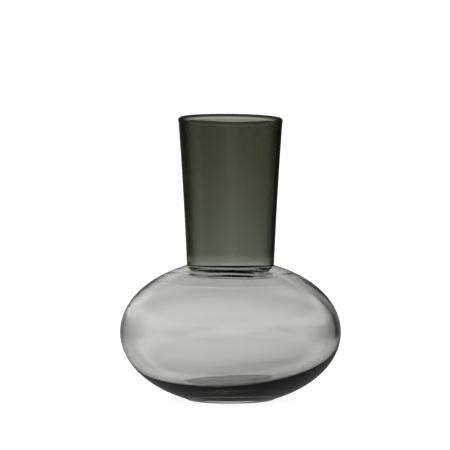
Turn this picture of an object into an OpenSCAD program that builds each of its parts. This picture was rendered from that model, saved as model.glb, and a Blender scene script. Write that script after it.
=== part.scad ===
// Two-tone blown glass bud vase.
// A pale flattened bulb stands on a low ground foot and carries a dark flared neck.
// Neck, joint ring, bulb and foot are separate glass pieces that were fused hot, face to face.
// Millimetres, +Z up, origin at the centre of the base.

/* [Overall] */
// Height from the base to the top of the rim
vase_h = 150; // [130:1:170]

/* [Bulb] */
// Widest diameter of the bulb
bulb_d = 117.2; // [105:0.2:130]
// Height of the full oval that the outline of the bulb follows
oval_h = 77; // [76:0.5:80]
// Height of the widest point above the base
bulb_mid_z = 36; // [35:0.5:36.5]
// Glass thickness at the widest point
side_wall = 2.2; // [1.5:0.1:2.5]
// Extra glass half way up the shoulder
shoulder_gain = 0.5; // [0:0.1:2]
// Extra glass in the middle of the floor
floor_gain = 5.2; // [4:0.1:9]
// How closely the extra floor glass gathers towards the middle
floor_gather = 4; // [2:1:8]

/* [Neck] */
// Outside diameter of the neck where it meets the bulb
joint_d = 46.4; // [44:0.2:50]
// Outside diameter of the neck just under the lip
rim_d = 55.4; // [50:0.2:60]
// How far the side of the neck curves in from a straight line
neck_sag = 0.3; // [0:0.1:0.8]
// Glass thickness at the joint
joint_wall = 1.9; // [1.6:0.1:2.4]
// Glass thickness just under the lip
rim_wall = 2.6; // [2.2:0.1:2.8]
// Thickness of the fire-polished round lip
lip_d = 3.0; // [2.9:0.1:3.4]

/* [Joint ring] */
// Height of the pale ring that seals the neck into the mouth of the bulb
ring_h = 3.2; // [2.6:0.1:3.4]
// How far the ring swells into the mouth
ring_swell = 0.6; // [0.2:0.1:1]

/* [Foot] */
// Height of the foot
foot_h = 1.4; // [1:0.1:2]
// How far the foot is set in from the bulb above it
foot_step = 1.4; // [0.6:0.1:1.8]
// How far the side of the foot rounds in towards the flat face that the vase stands on
foot_round = 2.6; // [1.5:0.1:4]

/* [Hidden] */
$fn = 128;

pale_glass = [0.72, 0.73, 0.71];
dark_glass = [0.24, 0.26, 0.21];

oval_a = bulb_d / 2;
oval_b = oval_h / 2;
joint_r = joint_d / 2;
mouth_r = joint_r - joint_wall;
foot_angle = oval_angle(foot_h);
foot_top_r = outer_point(foot_angle)[0] - foot_step;
ground_r = foot_top_r - foot_round;
joint_angle = acos(joint_r / oval_a);
joint_z = outer_point(joint_angle)[1];

bulb_steps = 64;
neck_steps = 16;
arc_steps = 12;

// Angle on the oval, measured from its widest point, at height z
function oval_angle(z) = asin((z - bulb_mid_z) / oval_b);

// Point [radius, height] on the outside of the bulb
function outer_point(angle) = [oval_a * cos(angle), bulb_mid_z + oval_b * sin(angle)];

// Unit normal of the oval, pointing out of the glass
function outer_normal(angle) =
    let (n = [oval_b * cos(angle), oval_a * sin(angle)])
    n / norm(n);

// Glass thickness: thin at the widest point, thicker at the shoulder, thickest at the floor
function wall_at(angle) =
    side_wall
    + (angle > 0 ? shoulder_gain * pow(sin(2 * angle), 2) : floor_gain * pow(-sin(angle), floor_gather));

// Point [radius, height] on the inside of the bulb
function inner_point(angle) = outer_point(angle) - wall_at(angle) * outer_normal(angle);

// Outside radius of the neck at a share t of the way from the joint to the lip
function neck_r(t) = joint_r + (rim_d / 2 - joint_r) * t - 4 * neck_sag * t * (1 - t);

// Points on an arc about centre c, from angle a0 to angle a1
function arc(c, r, a0, a1) =
    [for (i = [0:arc_steps]) let (a = a0 + (a1 - a0) * i / arc_steps) c + r * [cos(a), sin(a)]];

module foot() {
    // The side of the foot is a quarter oval between its top and the ground face
    side = [for (i = [0:arc_steps])
        let (a = 90 * i / arc_steps)
        [ground_r + foot_round * cos(a), foot_h * (1 - sin(a))]];
    color(pale_glass)
    rotate_extrude()
    polygon(concat([[0, foot_h]], side, [[0, 0]]));
}

module bulb() {
    outside = [for (i = [0:bulb_steps])
        outer_point(foot_angle + (joint_angle - foot_angle) * i / bulb_steps)];
    // The hollow runs from the mouth down to the middle of the floor
    inside = [for (i = [0:bulb_steps]) inner_point(90 - 180 * i / bulb_steps)];
    mouth_inside = [for (p = inside) if (p[0] > joint_r || p[1] < bulb_mid_z) [max(p[0], 0), p[1]]];
    color(pale_glass)
    rotate_extrude()
    polygon(concat(
        [[0, foot_h]],
        outside,
        [[joint_r, mouth_inside[0][1]]],
        mouth_inside
    ));
}

module joint_ring() {
    // A ring with a rounded lower edge, which swells into the mouth under the neck
    swell_r = mouth_r - ring_swell;
    edge_r = ring_h / 2;
    color(pale_glass)
    rotate_extrude()
    polygon(concat(
        [[joint_r, joint_z], [mouth_r, joint_z]],
        arc([swell_r + edge_r, joint_z - edge_r], edge_r, 180, 270),
        [[joint_r, joint_z - ring_h]]
    ));
}

module neck() {
    lip_r = lip_d / 2;
    lip_z = vase_h - lip_r;
    lip_mid = rim_d / 2 - rim_wall / 2;
    under_lip = asin(rim_wall / lip_d);
    heights = [for (i = [0:neck_steps]) i / neck_steps];
    top_z = lip_z - lip_r * cos(under_lip);
    outside = [for (t = heights) [neck_r(t), joint_z + (top_z - joint_z) * t]];
    inside = [for (t = heights)
        let (wall = joint_wall + (rim_wall - joint_wall) * (1 - t))
        [neck_r(1 - t) - wall, joint_z + (top_z - joint_z) * (1 - t)]];
    color(dark_glass)
    rotate_extrude()
    polygon(concat(
        outside,
        arc([lip_mid, lip_z], lip_r, under_lip - 90, 270 - under_lip),
        inside
    ));
}

foot();
bulb();
joint_ring();
neck();
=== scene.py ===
"""The two-tone blown glass bud vase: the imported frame, dressed as real glass.

Every CAD node is replaced by a finer mesh of the same outer size, because blown glass is judged by
what it does to the light behind it: the walls vary in thickness, the hollow leans, and edges are round.
"""
import math

import bpy
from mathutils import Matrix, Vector


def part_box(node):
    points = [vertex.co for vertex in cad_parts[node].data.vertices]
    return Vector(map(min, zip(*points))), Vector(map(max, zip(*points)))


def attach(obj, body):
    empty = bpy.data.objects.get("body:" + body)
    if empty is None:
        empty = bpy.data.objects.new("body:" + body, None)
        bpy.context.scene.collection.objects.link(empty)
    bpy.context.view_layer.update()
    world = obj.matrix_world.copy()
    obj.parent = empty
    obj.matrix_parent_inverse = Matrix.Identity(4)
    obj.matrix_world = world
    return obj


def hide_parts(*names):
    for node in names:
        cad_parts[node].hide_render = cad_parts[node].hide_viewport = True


MM = 0.001

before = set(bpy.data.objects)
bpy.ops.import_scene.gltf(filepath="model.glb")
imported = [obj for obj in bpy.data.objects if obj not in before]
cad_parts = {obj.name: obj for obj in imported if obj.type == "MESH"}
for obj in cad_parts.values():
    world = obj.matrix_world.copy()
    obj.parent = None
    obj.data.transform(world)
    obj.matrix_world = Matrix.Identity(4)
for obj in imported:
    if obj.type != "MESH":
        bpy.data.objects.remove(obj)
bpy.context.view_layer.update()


# ---------------------------------------------------------------- sizes, from the frame

def half_width(node):
    low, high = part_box(node)
    return (high[0] - low[0]) / 2


FOOT_TOP_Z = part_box("foot")[1][2]
FOOT_TOP_R = half_width("foot")
OVAL_A = half_width("bulb")
JOINT_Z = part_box("joint_ring")[1][2]
JOINT_R = half_width("joint_ring")
RIM_OUT_R = half_width("neck")
RIM_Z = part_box("neck")[1][2]


# ---------------------------------------------------------------- sizes of the blown shape

# The round of the foot's edge, down to the ground face
FOOT_ROUND = 2.6 * MM

# The bulb's outside is an oval: its half height, and the height of its middle
OVAL_B = 38.5 * MM
OVAL_MID_Z = 36 * MM

# The bulb's wall at the side, and what the leaning hollow, the shoulder and the floor add to it
SIDE_WALL = 2.2 * MM
SIDE_LEAN = 0.5 * MM
SHOULDER_GAIN = 1.3 * MM
SHOULDER_START = 8
SHOULDER_SPAN = 50
FLOOR_GAIN = 4.2 * MM
# How closely the floor's extra glass is gathered at the axis, and how the lean changes that
FLOOR_GATHER = 4
GATHER_LEAN = 1.6
# The lean dies out towards the axis, where all directions meet
LEAN_FADE = 0.3

# A low swell round the hollow's shoulder and another round its floor, by angle on the oval in degrees
RIPPLE = 0.035 * MM
RIPPLE_AT = 56.5
RIPPLE_WIDTH = 1.3
FLOOR_WAVE = 0.08 * MM
FLOOR_WAVE_AT = -62
FLOOR_WAVE_WIDTH = 3.5

# The bulb's mouth, and the ring of the joint that closes it in to a small round edge
MOUTH_R = 22.9 * MM
RING_R = 21.3 * MM
RING_EDGE = 0.3 * MM
EDGE_IN = 0.35 * MM
EDGE_UP = 0.1 * MM
EDGE_BACK = 0.25 * MM
# Near the mouth, a point on the oval lies about this much further out than the hollow's point under it
MOUTH_SKIN = 0.8 * MM

# The neck's wall at both ends, the sag of its sides, its fire-polished lip, and the tilt of its rim
JOINT_WALL = 1.9 * MM
RIM_WALL = 2.6 * MM
NECK_SAG = 0.3 * MM
LIP_R = 1.5 * MM
RIM_TILT = 0.6 * MM
# The wall is drawn thinner just above the joint
JOINT_THIN = 0.45 * MM
JOINT_THIN_H = 7 * MM
# Faint flutes inside the neck: how many round it, how deep in mm, and turned by how much
FLUTES = ((5, 0.05, 0.4), (9, 0.03, 2.1), (14, 0.02, 1.0), (23, 0.012, 3.0))

# A zone of extra absorption inside the floor, painted shade that darkens the bottom of the bulb: where its
# edge starts, in degrees, and the glass left round it
PAINTED_SHADE_EDGE = -42
PAINTED_SHADE_EDGE_LEAN = 12
PAINTED_SHADE_SKIN = 0.3 * MM
PAINTED_SHADE_TOP_SKIN = 0.05 * MM
PAINTED_SHADE_EDGE_H = 0.02 * MM
PAINTED_SHADE_ROUND_STEPS = 6

# Fused pieces sink into each other by a hair, so that light crosses the seam as in one glass
SINK = 0.01 * MM
SEGMENTS = 256
ON_AXIS = 1e-7


# ---------------------------------------------------------------- outlines

def mix(a, b, t):
    return a + (b - a) * t


def smooth(t):
    t = min(max(t, 0.0), 1.0)
    return t * t * (3 - 2 * t)


def line(p, q, n):
    """n points from p, short of q."""
    return [(mix(p[0], q[0], i / n), mix(p[1], q[1], i / n)) for i in range(n)]


def arc(centre, radius, start, end, n):
    """n + 1 points of an arc about centre, angles in degrees."""
    points = []
    for i in range(n + 1):
        angle = math.radians(mix(start, end, i / n))
        points.append((centre[0] + radius * math.cos(angle), centre[1] + radius * math.sin(angle)))
    return points


def rounded(points, radius, n=6):
    """The open outline with each inner corner turned into an arc of about that radius."""
    out = [points[0]]
    for before, corner, after in zip(points, points[1:], points[2:]):
        a = Vector(before) - Vector(corner)
        b = Vector(after) - Vector(corner)
        cut = min(radius, a.length * 0.45, b.length * 0.45)
        start, end = Vector(corner) + a.normalized() * cut, Vector(corner) + b.normalized() * cut
        for i in range(n + 1):
            t = i / n
            p = start.lerp(Vector(corner), t).lerp(Vector(corner).lerp(end, t), t)
            out.append((p.x, p.y))
    out.append(points[-1])
    return out


def oval_angle(z):
    return math.asin((z - OVAL_MID_Z) / OVAL_B)


def oval_point(angle):
    return OVAL_A * math.cos(angle), OVAL_MID_Z + OVAL_B * math.sin(angle)


def oval_inside(angle, wall):
    """The point one wall's thickness in from the oval, along its normal."""
    nx, nz = OVAL_B * math.cos(angle), OVAL_A * math.sin(angle)
    length = math.hypot(nx, nz)
    r, z = oval_point(angle)
    return r - wall * nx / length, z - wall * nz / length


# ---------------------------------------------------------------- meshes

def revolve(name, outline, material):
    """A closed, smooth mesh of revolution. outline(azimuth) gives the (radius, height) points for one
    direction, the same number every time; an end at radius 0 becomes one point on the axis."""
    rows = [outline(2 * math.pi * s / SEGMENTS) for s in range(SEGMENTS)]
    count = len(rows[0])
    on_axis = [rows[0][k][0] < ON_AXIS for k in range(count)]
    verts, index = [], []
    for k in range(count):
        if on_axis[k]:
            verts.append((0.0, 0.0, sum(row[k][1] for row in rows) / SEGMENTS))
            index.append([len(verts) - 1] * SEGMENTS)
            continue
        index.append([])
        for s, row in enumerate(rows):
            azimuth = 2 * math.pi * s / SEGMENTS
            r, z = row[k]
            verts.append((r * math.cos(azimuth), r * math.sin(azimuth), z))
            index[-1].append(len(verts) - 1)
    loops = list(range(count)) + ([] if on_axis[0] else [0])
    faces = []
    for k, k2 in zip(loops, loops[1:]):
        for s in range(SEGMENTS):
            s2 = (s + 1) % SEGMENTS
            corners = [index[k][s], index[k][s2], index[k2][s2], index[k2][s]]
            face = tuple(dict.fromkeys(corners))
            if len(face) > 2:
                faces.append(face)
    mesh = bpy.data.meshes.new(name)
    mesh.from_pydata(verts, [], faces)
    mesh.validate()
    mesh.polygons.foreach_set("use_smooth", [True] * len(mesh.polygons))
    mesh.materials.append(material)
    obj = bpy.data.objects.new(name, mesh)
    bpy.context.scene.collection.objects.link(obj)
    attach(obj, "root")
    return obj


# ---------------------------------------------------------------- the four glass pieces

def foot_outline(azimuth):
    ground_r = FOOT_TOP_R - FOOT_ROUND
    side = []
    for i in range(17):
        a = math.pi / 2 * i / 16
        side.append((ground_r + FOOT_ROUND * math.cos(a), (FOOT_TOP_Z + SINK) * (1 - math.sin(a))))
    top_z = FOOT_TOP_Z + SINK
    return (
        line((0, top_z), (FOOT_TOP_R, top_z), 24)
        + side
        + line((ground_r, 0), (0, 0), 24)[1:]
        + [(0, 0)]
    )


def bump(x):
    return math.exp(-x * x)


def bulb_wall(angle, azimuth):
    """Glass thickness at an angle on the oval: the hollow leans, and its surface is faintly wavy."""
    lean = math.cos(azimuth)
    degrees = math.degrees(angle)
    side = SIDE_WALL + SIDE_LEAN * lean * math.cos(angle)
    if angle > 0:
        # The ripple wanders up and down, and swells and sinks, on its way round
        centre = RIPPLE_AT + 0.9 * math.sin(2 * azimuth + 0.6) + 0.5 * math.sin(7 * azimuth)
        height = RIPPLE * (1 + 0.5 * math.sin(3 * azimuth + 2.2))
        ripple = height * bump((degrees - centre) / RIPPLE_WIDTH)
        return side + SHOULDER_GAIN * smooth((degrees - SHOULDER_START) / SHOULDER_SPAN) + ripple
    turn = -math.sin(angle)
    lean *= smooth(math.cos(angle) / LEAN_FADE)
    wander = 3 * math.sin(2 * azimuth + 0.4)
    wave = FLOOR_WAVE * bump((degrees - FLOOR_WAVE_AT + wander) / FLOOR_WAVE_WIDTH)
    return side + FLOOR_GAIN * turn ** (FLOOR_GATHER - GATHER_LEAN * lean) + wave


def inner_at(radius):
    """The angle on the oval whose inner wall point lies at about the given radius."""
    return math.acos((radius + MOUTH_SKIN) / OVAL_A)


def wall_points(start, end, azimuth, n):
    """n + 1 points of the hollow's surface between two angles on the oval."""
    points = []
    for i in range(n + 1):
        angle = mix(start, end, i / n)
        r, z = oval_inside(angle, bulb_wall(angle, azimuth))
        points.append((max(r, 0.0), z))
    return points


def bulb_outline(azimuth):
    low, high = oval_angle(FOOT_TOP_Z), math.acos(JOINT_R / OVAL_A)
    outside = [oval_point(mix(low, high, i / 140)) for i in range(141)]
    inside = wall_points(inner_at(MOUTH_R), -math.pi / 2, azimuth, 220)
    inside[-1] = (0.0, inside[-1][1])
    top = (MOUTH_R - SINK, JOINT_Z + SINK)
    floor = line((0, FOOT_TOP_Z), outside[0], 30)
    mouth = line((JOINT_R, JOINT_Z + SINK), top, 8) + line(top, inside[0], 8)
    return floor + outside[:-1] + mouth + inside


def ring_outline(azimuth):
    """The ring carries the ceiling of the hollow in under the neck, and ends in a small round edge."""
    under = wall_points(inner_at(MOUTH_R + 2 * SINK), inner_at(RING_R), azimuth, 16)
    r, z = under[-1]
    corners = [(r, z), (r - EDGE_IN, z + EDGE_UP), (r - EDGE_BACK, JOINT_Z + SINK)]
    edge = rounded(corners, RING_EDGE, 8)
    top = (MOUTH_R + 2 * SINK, JOINT_Z + SINK)
    return line(top, under[0], 6) + under[:-1] + edge + line(edge[-1], top, 8)[1:]


def neck_outline(azimuth):
    lip_z = RIM_Z - LIP_R
    lip_mid = RIM_OUT_R - LIP_R
    under = math.asin(RIM_WALL / 2 / LIP_R)
    top_z = lip_z - LIP_R * math.cos(under)
    rim_r = lip_mid + RIM_WALL / 2

    def radius(t):
        return mix(JOINT_R, rim_r, t) - 4 * NECK_SAG * t * (1 - t)

    drop = RIM_TILT * (1 + math.cos(azimuth)) / 2
    flute = sum(height * math.cos(count * azimuth + turn) for count, height, turn in FLUTES) * MM

    steps = 200
    outside = [(radius(i / steps), mix(JOINT_Z, top_z, i / steps)) for i in range(steps)]
    inside = []
    for i in range(steps + 1):
        t = 1 - i / steps
        z = mix(JOINT_Z, top_z, t)
        thin = JOINT_THIN * (1 - smooth((z - JOINT_Z) / JOINT_THIN_H))
        wall = mix(JOINT_WALL, RIM_WALL, t) - thin
        inside.append((radius(t) - wall + flute * math.sin(math.pi * t), z))
    lip = arc((lip_mid, lip_z), LIP_R, math.degrees(under) - 90, 270 - math.degrees(under), 32)
    bottom = line(inside[-1], outside[0], 6)[1:]
    points = outside + lip[:-1] + inside + bottom
    return [(r, z - drop * smooth((z - JOINT_Z) / (RIM_Z - JOINT_Z))) for r, z in points]


def painted_shade_outline(azimuth):
    """The zone of painted shade in the bulb's floor, an absorbing body that darkens it, from its blunt outer
    edge in to the axis, clear of both faces.
    """
    start = math.radians(PAINTED_SHADE_EDGE + PAINTED_SHADE_EDGE_LEAN * math.cos(azimuth))
    lowest = FOOT_TOP_Z + PAINTED_SHADE_SKIN
    steps = 60
    under, over = [], []
    for i in range(steps + 1):
        angle = mix(start, -math.pi / 2, i / steps)
        wall = bulb_wall(angle, azimuth)
        inward = smooth(i / PAINTED_SHADE_ROUND_STEPS)
        skin = mix(wall / 2, PAINTED_SHADE_SKIN, inward)
        top_skin = mix(wall / 2 - PAINTED_SHADE_EDGE_H, PAINTED_SHADE_TOP_SKIN, inward)
        r, z = oval_inside(angle, skin)
        under.append((max(r, 0.0), max(z, lowest)))
        r, z = oval_inside(angle, wall - top_skin)
        over.append((max(r, 0.0), max(z, lowest)))
    under[-1] = (0.0, under[-1][1])
    over[-1] = (0.0, over[-1][1])
    return under[::-1] + over


# ---------------------------------------------------------------- glass

CORD_STRENGTH = 0.6
BLOOM_SCALE = 90.0
BLOOM_ROUGHNESS = 0.02
CLOUD = 0.985


def new_node(tree, kind, **values):
    node = tree.nodes.new("ShaderNode" + kind)
    for name, value in values.items():
        node.inputs[name.replace("_", " ")].default_value = value
    return node


def map_range(tree, start, end, low, high):
    return new_node(tree, "MapRange", From_Min=start, From_Max=end, To_Min=low, To_Max=high)


def glass(name, colour, density, tints, streaks, cord_height, ior=1.51):
    """Blown glass: absorption of colour (what passes) and density (per metre), a surface tint that follows
    the height (stops of metre, colour), fine cords drawn out as streaks (noise cycles per metre along
    each axis), and a faint bloom of handling on the polish."""
    material = bpy.data.materials.new(name)
    material.use_nodes = True
    tree = material.node_tree
    shader = tree.nodes["Principled BSDF"]
    shader.inputs["IOR"].default_value = ior
    shader.inputs["Transmission Weight"].default_value = 1.0
    absorb = new_node(tree, "VolumeAbsorption", Color=(*colour, 1), Density=density)
    tree.links.new(absorb.outputs["Volume"], tree.nodes["Material Output"].inputs["Volume"])
    place = tree.nodes.new("ShaderNodeTexCoord").outputs["Object"]

    stretch = new_node(tree, "Mapping", Scale=streaks)
    tree.links.new(place, stretch.inputs["Vector"])
    cords = new_node(tree, "TexNoise", Scale=1.0, Detail=1.0, Roughness=0.5)
    tree.links.new(stretch.outputs["Vector"], cords.inputs["Vector"])
    bumps = new_node(tree, "Bump", Strength=CORD_STRENGTH, Distance=cord_height)
    tree.links.new(cords.outputs["Fac"], bumps.inputs["Height"])
    tree.links.new(bumps.outputs["Normal"], shader.inputs["Normal"])

    bloom = new_node(tree, "TexNoise", Scale=BLOOM_SCALE, Detail=2.0)
    tree.links.new(place, bloom.inputs["Vector"])
    polish = map_range(tree, 0.45, 0.8, 0.0, BLOOM_ROUGHNESS)
    tree.links.new(bloom.outputs["Fac"], polish.inputs["Value"])
    tree.links.new(polish.outputs["Result"], shader.inputs["Roughness"])

    split = tree.nodes.new("ShaderNodeSeparateXYZ")
    tree.links.new(place, split.inputs["Vector"])
    bottom, top = tints[0][0], tints[-1][0]
    span = map_range(tree, bottom, top, 0.0, 1.0)
    tree.links.new(split.outputs["Z"], span.inputs["Value"])
    ramp = tree.nodes.new("ShaderNodeValToRGB")
    ramp.color_ramp.interpolation = "B_SPLINE"
    tree.links.new(span.outputs["Result"], ramp.inputs["Fac"])
    while len(ramp.color_ramp.elements) < len(tints):
        ramp.color_ramp.elements.new(0.5)
    for element, (z, tint) in zip(ramp.color_ramp.elements, tints):
        element.position = (z - bottom) / (top - bottom)
        element.color = (*tint, 1)
    cloud = map_range(tree, 0.3, 0.7, CLOUD, 1.0)
    tree.links.new(cords.outputs["Fac"], cloud.inputs["Value"])
    vary = tree.nodes.new("ShaderNodeVectorMath")
    vary.operation = "SCALE"
    tree.links.new(ramp.outputs["Color"], vary.inputs["Vector"])
    tree.links.new(cloud.outputs["Result"], vary.inputs["Scale"])
    tree.links.new(vary.outputs["Vector"], shader.inputs["Base Color"])
    return material


PALE_TINTS = ((0.0, (0.985, 0.985, 0.98)), (RIM_Z, (0.985, 0.985, 0.98)))
PAINTED_SHADE_TINTS = ((0.0, (1.0, 1.0, 1.0)), (RIM_Z, (1.0, 1.0, 1.0)))
NECK_TINTS = (
    (JOINT_Z, (1.0, 1.0, 1.0)),
    (JOINT_Z + 1.5 * MM, (0.99, 0.99, 0.99)),
    (JOINT_Z + 4 * MM, (0.90, 0.90, 0.90)),
    (JOINT_Z + 8 * MM, (0.845, 0.845, 0.845)),
    (JOINT_Z + 25 * MM, (0.83, 0.83, 0.80)),
    (JOINT_Z + 50 * MM, (0.78, 0.77, 0.73)),
    (RIM_Z, (0.73, 0.73, 0.68)),
)
PALE = glass("pale_glass", (0.40, 0.408, 0.368), 155, PALE_TINTS, (25.0, 25.0, 200.0), 0.015 * MM)
DARK = glass("dark_glass", (0.35, 0.375, 0.29), 700, NECK_TINTS, (260.0, 260.0, 12.0), 0.04 * MM)
# The painted shade lies inside the floor's own glass, so it bends no light: its index relative to that is 1,
# and its absorption only darkens the floor
FLOOR_SHADE_GLASS = glass("painted_shade_glass", (0.40, 0.41, 0.37), 60, PAINTED_SHADE_TINTS, (25.0, 25.0, 260.0), 0.015 * MM, 1.0)


foot = revolve("foot_glass", foot_outline, PALE)
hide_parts("foot")
bulb = revolve("bulb_glass", bulb_outline, PALE)
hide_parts("bulb")
# Painted shade: an absorbing zone that darkens the bulb's floor
revolve("floor_gather", painted_shade_outline, FLOOR_SHADE_GLASS)
ring = revolve("joint_ring_glass", ring_outline, PALE)
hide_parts("joint_ring")
neck = revolve("neck_glass", neck_outline, DARK)
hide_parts("neck")


# ---------------------------------------------------------------- stage, light and camera

# Enough turns for light that is caught between the two faces of the wall at the shoulder
BOUNCES = 128
INDIRECT_CLAMP = 4

FLOOR_HALF = 8.0
FLOOR_GLOW = 0.9


def build_floor():
    """A pale floor that glows evenly, seen by the camera but not through the glass."""
    size = FLOOR_HALF
    mesh = bpy.data.meshes.new("stage_floor")
    corners = [(-size, -size, 0), (size, -size, 0), (size, size, 0), (-size, size, 0)]
    mesh.from_pydata(corners, [], [(0, 1, 2, 3)])
    floor = bpy.data.objects.new("stage_floor", mesh)
    bpy.context.scene.collection.objects.link(floor)
    floor.visible_transmission = False
    floor.visible_glossy = False
    material = bpy.data.materials.new("stage_white")
    material.use_nodes = True
    shader = material.node_tree.nodes["Principled BSDF"]
    shader.inputs["Base Color"].default_value = (0.3, 0.3, 0.3, 1)
    shader.inputs["Roughness"].default_value = 1.0
    shader.inputs["Specular IOR Level"].default_value = 0.0
    shader.inputs["Emission Color"].default_value = (1, 1, 1, 1)
    shader.inputs["Emission Strength"].default_value = FLOOR_GLOW
    mesh.materials.append(material)


class Nodes:
    """Short names for a tree's math nodes."""

    def __init__(self, tree):
        self.tree = tree

    def math(self, operation, *values):
        node = self.tree.nodes.new("ShaderNodeMath")
        node.operation = operation
        for socket, value in zip(node.inputs, values):
            if isinstance(value, (int, float)):
                socket.default_value = value
            else:
                self.tree.links.new(value, socket)
        return node.outputs[0]

    def ramp(self, value, start, end, low, high):
        node = self.tree.nodes.new("ShaderNodeMapRange")
        node.interpolation_type = "SMOOTHSTEP"
        node.inputs["From Min"].default_value = start
        node.inputs["From Max"].default_value = end
        node.inputs["To Min"].default_value = low
        node.inputs["To Max"].default_value = high
        self.tree.links.new(value, node.inputs["Value"])
        return node.outputs["Result"]


# The studio repeats every quarter turn, so that it lights the vase alike from every side
FOLD = math.radians(45)
# Brightness of the dark ceiling, of the upper wall, and of what the glass reflects on its outside
OVERHEAD = 0.06
UPPER = 1.75
REFLECTED = 0.14
BACKDROP = 1.25
# How dark the panel at each end of a quarter is, and the darkness that both turn to where quarters meet
RIGHT_DARK = 0.9
LEFT_DARK = 0.7
SEAM_DARK = 0.82
# Bands of the wall by elevation in degrees: from, to, brightness below, brightness above
BANDS = (
    (24, 38, 1.0, OVERHEAD),
    (-4, 0, 0.86, 1.0),
    (-24, -5, 0.75, 1.0),
    (-19, -13, 1.45, 1.0),
    (7, 13, 1.0, UPPER),
)


def build_world():
    """Soft light: a pale wall all round that darkens by bands of elevation and at its side panels."""
    world = bpy.data.worlds.new("studio")
    bpy.context.scene.world = world
    world.use_nodes = True
    tree = world.node_tree
    n = Nodes(tree)
    coords = tree.nodes.new("ShaderNodeTexCoord")
    split = tree.nodes.new("ShaderNodeSeparateXYZ")
    tree.links.new(coords.outputs["Generated"], split.inputs[0])
    x, y, z = split.outputs
    azimuth = n.math("ARCTAN2", x, y)
    folded = n.math("WRAP", azimuth, FOLD, -FOLD)
    degrees = n.math("MULTIPLY", folded, 180 / math.pi)
    elevation = n.math("MULTIPLY", n.math("ARCSINE", z), 180 / math.pi)
    low = n.ramp(elevation, -12, -3, 0.0, 1.0)
    right_height = n.math("MULTIPLY", low, n.ramp(elevation, 18, 30, 1.0, 0.0))
    right = n.math("MULTIPLY", right_height, n.ramp(degrees, 3, 28, 0.0, RIGHT_DARK))
    left_height = n.math("MULTIPLY", low, n.ramp(elevation, 6, 14, 1.0, 0.0))
    left = n.math("MULTIPLY", left_height, n.ramp(degrees, -26, -10, LEFT_DARK, 0.0))
    tent = n.math("MULTIPLY", n.math("SUBTRACT", 1.0, right), n.math("SUBTRACT", 1.0, left))
    seam = n.ramp(n.math("ABSOLUTE", degrees), 33, 44, 0.0, 1.0)
    shared = n.math("SUBTRACT", 1.0, n.math("MULTIPLY", low, n.ramp(elevation, 8, 22, SEAM_DARK, 0.0)))
    tent = n.math("ADD", tent, n.math("MULTIPLY", seam, n.math("SUBTRACT", shared, tent)))
    for start, end, below, above in BANDS:
        tent = n.math("MULTIPLY", tent, n.ramp(elevation, start, end, below, above))
    path = tree.nodes.new("ShaderNodeLightPath")
    passed = path.outputs["Is Transmission Ray"]
    share = n.math("ADD", REFLECTED, n.math("MULTIPLY", passed, 1 - REFLECTED))
    tent = n.math("MULTIPLY", tent, share)
    plain = n.math("MAXIMUM", path.outputs["Is Camera Ray"], path.outputs["Is Diffuse Ray"])
    light = n.math("ADD", tent, n.math("MULTIPLY", plain, n.math("SUBTRACT", BACKDROP, tent)))
    background = tree.nodes["Background"]
    tree.links.new(light, background.inputs["Strength"])
    background.inputs["Color"].default_value = (1, 1, 1, 1)
    world.cycles.sampling_method = "NONE"


PHOTO_WIDTH = 239.2 * MM
CAMERA_DISTANCE = 820 * MM
CAMERA_HEIGHT = 87 * MM
LOOK_AT = Vector((-2.9 * MM, 0, 92.55 * MM))


def build_camera():
    data = bpy.data.cameras.new("camera")
    camera = bpy.data.objects.new("camera", data)
    bpy.context.scene.collection.objects.link(camera)
    camera.location = (LOOK_AT.x, -CAMERA_DISTANCE, CAMERA_HEIGHT)
    direction = LOOK_AT - camera.location
    camera.rotation_mode = "QUATERNION"
    camera.rotation_quaternion = direction.to_track_quat("-Z", "Y")
    data.sensor_width = 36
    data.lens = data.sensor_width * direction.length / PHOTO_WIDTH
    data.clip_start, data.clip_end = 0.1, 50
    bpy.context.scene.camera = camera


build_floor()
build_world()
build_camera()

scene = bpy.context.scene
scene.view_settings.view_transform = "Standard"
scene.cycles.max_bounces = BOUNCES
scene.cycles.transmission_bounces = BOUNCES
scene.cycles.glossy_bounces = BOUNCES
scene.cycles.caustics_refractive = True
scene.cycles.caustics_reflective = True
scene.cycles.sample_clamp_indirect = INDIRECT_CLAMP
